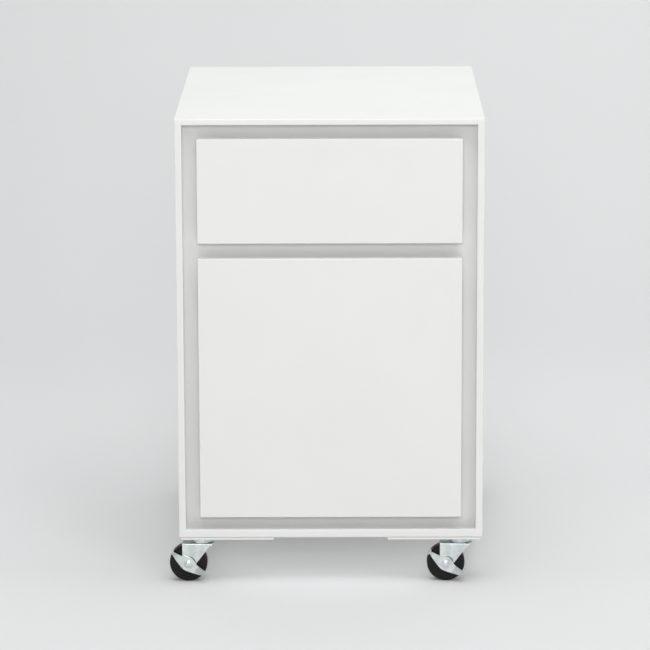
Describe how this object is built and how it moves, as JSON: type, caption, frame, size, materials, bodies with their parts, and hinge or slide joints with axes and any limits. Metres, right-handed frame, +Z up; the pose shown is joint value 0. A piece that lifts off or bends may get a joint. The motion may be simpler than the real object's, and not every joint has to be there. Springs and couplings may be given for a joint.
{
  "type": "rolling pedestal cabinet",
  "caption": "Rolling sheet-steel pedestal cabinet: a shallow drawer over a deep file drawer, with handle-free faces floating in an open finger gap, on swivel casters.",
  "frame": {"origin": "on the floor under the middle of the case", "axes": "+Z up; the drawers open towards -Y; +X to the right as seen from the front"},
  "size_m": [0.4274, 0.484, 0.6215],
  "materials": {
    "white_powder_coat": "satin white powder coat",
    "slide_steel": "zinc-coated rolled steel",
    "zinc_plate": "bright blue-white zinc plate",
    "black_wheel": "smooth black solid wheel"
  },
  "bodies": {
    "case": {"top_panel": "white_powder_coat", "bottom_panel": "white_powder_coat", "left_side_panel": "white_powder_coat", "right_side_panel": "white_powder_coat", "back_panel": "white_powder_coat", "frame_left_stile": "white_powder_coat", "frame_right_stile": "white_powder_coat", "frame_top_rail": "white_powder_coat", "frame_middle_rail": "white_powder_coat", "frame_bottom_rail": "white_powder_coat", "left_caster_channel": "white_powder_coat", "right_caster_channel": "white_powder_coat", "front_left_upright": "slide_steel", "front_right_upright": "slide_steel", "rear_left_upright": "slide_steel", "rear_right_upright": "slide_steel", "upper_left_slide_outer": "slide_steel", "upper_right_slide_outer": "slide_steel", "lower_left_slide_outer": "slide_steel", "lower_right_slide_outer": "slide_steel", "front_left_caster_plate": "zinc_plate", "front_right_caster_plate": "zinc_plate", "rear_left_caster_plate": "zinc_plate", "rear_right_caster_plate": "zinc_plate"},
    "upper_drawer": {"upper_drawer_face": "white_powder_coat", "upper_drawer_inner_front": "white_powder_coat", "upper_drawer_left_side": "white_powder_coat", "upper_drawer_right_side": "white_powder_coat", "upper_drawer_bottom": "white_powder_coat", "upper_drawer_back": "white_powder_coat", "upper_left_slide_inner": "slide_steel", "upper_right_slide_inner": "slide_steel"},
    "lower_drawer": {"lower_drawer_face": "white_powder_coat", "lower_drawer_inner_front": "white_powder_coat", "lower_drawer_left_side": "white_powder_coat", "lower_drawer_right_side": "white_powder_coat", "lower_drawer_bottom": "white_powder_coat", "lower_drawer_back": "white_powder_coat", "lower_left_slide_inner": "slide_steel", "lower_right_slide_inner": "slide_steel", "left_file_rail": "slide_steel", "right_file_rail": "slide_steel"},
    "upper_left_runner": {"upper_left_slide_middle": "slide_steel"},
    "upper_right_runner": {"upper_right_slide_middle": "slide_steel"},
    "lower_left_runner": {"lower_left_slide_middle": "slide_steel"},
    "lower_right_runner": {"lower_right_slide_middle": "slide_steel"},
    "front_left_swivel": {"front_left_caster_fork": "zinc_plate", "front_left_caster_axle": "zinc_plate"},
    "front_left_wheel": {"front_left_caster_wheel": "black_wheel"},
    "front_left_brake": {"front_left_brake_lever": "zinc_plate"},
    "front_right_swivel": {"front_right_caster_fork": "zinc_plate", "front_right_caster_axle": "zinc_plate"},
    "front_right_wheel": {"front_right_caster_wheel": "black_wheel"},
    "front_right_brake": {"front_right_brake_lever": "zinc_plate"},
    "rear_left_swivel": {"rear_left_caster_fork": "zinc_plate", "rear_left_caster_axle": "zinc_plate"},
    "rear_left_wheel": {"rear_left_caster_wheel": "black_wheel"},
    "rear_right_swivel": {"rear_right_caster_fork": "zinc_plate", "rear_right_caster_axle": "zinc_plate"},
    "rear_right_wheel": {"rear_right_caster_wheel": "black_wheel"}
  },
  "joints": [
    {"name": "upper_drawer_slide", "type": "slide", "parent": "case", "child": "upper_drawer", "axis": [0, -1, 0], "range_m": [0, 0.38]},
    {"name": "upper_left_runner_slide", "type": "slide", "parent": "case", "child": "upper_left_runner", "axis": [0, -1, 0], "range_m": [0, 0.19]},
    {"name": "upper_right_runner_slide", "type": "slide", "parent": "case", "child": "upper_right_runner", "axis": [0, -1, 0], "range_m": [0, 0.19]},
    {"name": "lower_drawer_slide", "type": "slide", "parent": "case", "child": "lower_drawer", "axis": [0, -1, 0], "range_m": [0, 0.38]},
    {"name": "lower_left_runner_slide", "type": "slide", "parent": "case", "child": "lower_left_runner", "axis": [0, -1, 0], "range_m": [0, 0.19]},
    {"name": "lower_right_runner_slide", "type": "slide", "parent": "case", "child": "lower_right_runner", "axis": [0, -1, 0], "range_m": [0, 0.19]},
    {"name": "front_left_caster_swivel", "type": "hinge", "parent": "case", "child": "front_left_swivel", "pos_m": [-0.17055, -0.22, 0.055], "axis": [0, 0, 1], "continuous": true},
    {"name": "front_left_wheel_spin", "type": "hinge", "parent": "front_left_swivel", "child": "front_left_wheel", "pos_m": [-0.1887, -0.22, 0.025], "axis": [0, 1, 0], "continuous": true},
    {"name": "front_left_brake_turn", "type": "hinge", "parent": "front_left_swivel", "child": "front_left_brake", "pos_m": [-0.1887, -0.22, 0.025], "axis": [0, -1, 0], "range_deg": [0, 30]},
    {"name": "front_right_caster_swivel", "type": "hinge", "parent": "case", "child": "front_right_swivel", "pos_m": [0.17055, -0.22, 0.055], "axis": [0, 0, 1], "continuous": true},
    {"name": "front_right_wheel_spin", "type": "hinge", "parent": "front_right_swivel", "child": "front_right_wheel", "pos_m": [0.1524, -0.22, 0.025], "axis": [0, 1, 0], "continuous": true},
    {"name": "front_right_brake_turn", "type": "hinge", "parent": "front_right_swivel", "child": "front_right_brake", "pos_m": [0.1524, -0.22, 0.025], "axis": [0, -1, 0], "range_deg": [0, 30]},
    {"name": "rear_left_caster_swivel", "type": "hinge", "parent": "case", "child": "rear_left_swivel", "pos_m": [-0.17055, 0.22, 0.055], "axis": [0, 0, 1], "continuous": true},
    {"name": "rear_left_wheel_spin", "type": "hinge", "parent": "rear_left_swivel", "child": "rear_left_wheel", "pos_m": [-0.1524, 0.22, 0.025], "axis": [0, 1, 0], "continuous": true},
    {"name": "rear_right_caster_swivel", "type": "hinge", "parent": "case", "child": "rear_right_swivel", "pos_m": [0.17055, 0.22, 0.055], "axis": [0, 0, 1], "continuous": true},
    {"name": "rear_right_wheel_spin", "type": "hinge", "parent": "rear_right_swivel", "child": "rear_right_wheel", "pos_m": [0.1887, 0.22, 0.025], "axis": [0, 1, 0], "continuous": true}
  ],
  "couplings": [
    {"joint": "upper_left_runner_slide", "follows": "upper_drawer_slide", "ratio": 0.5},
    {"joint": "upper_right_runner_slide", "follows": "upper_drawer_slide", "ratio": 0.5},
    {"joint": "lower_left_runner_slide", "follows": "lower_drawer_slide", "ratio": 0.5},
    {"joint": "lower_right_runner_slide", "follows": "lower_drawer_slide", "ratio": 0.5}
  ]
}
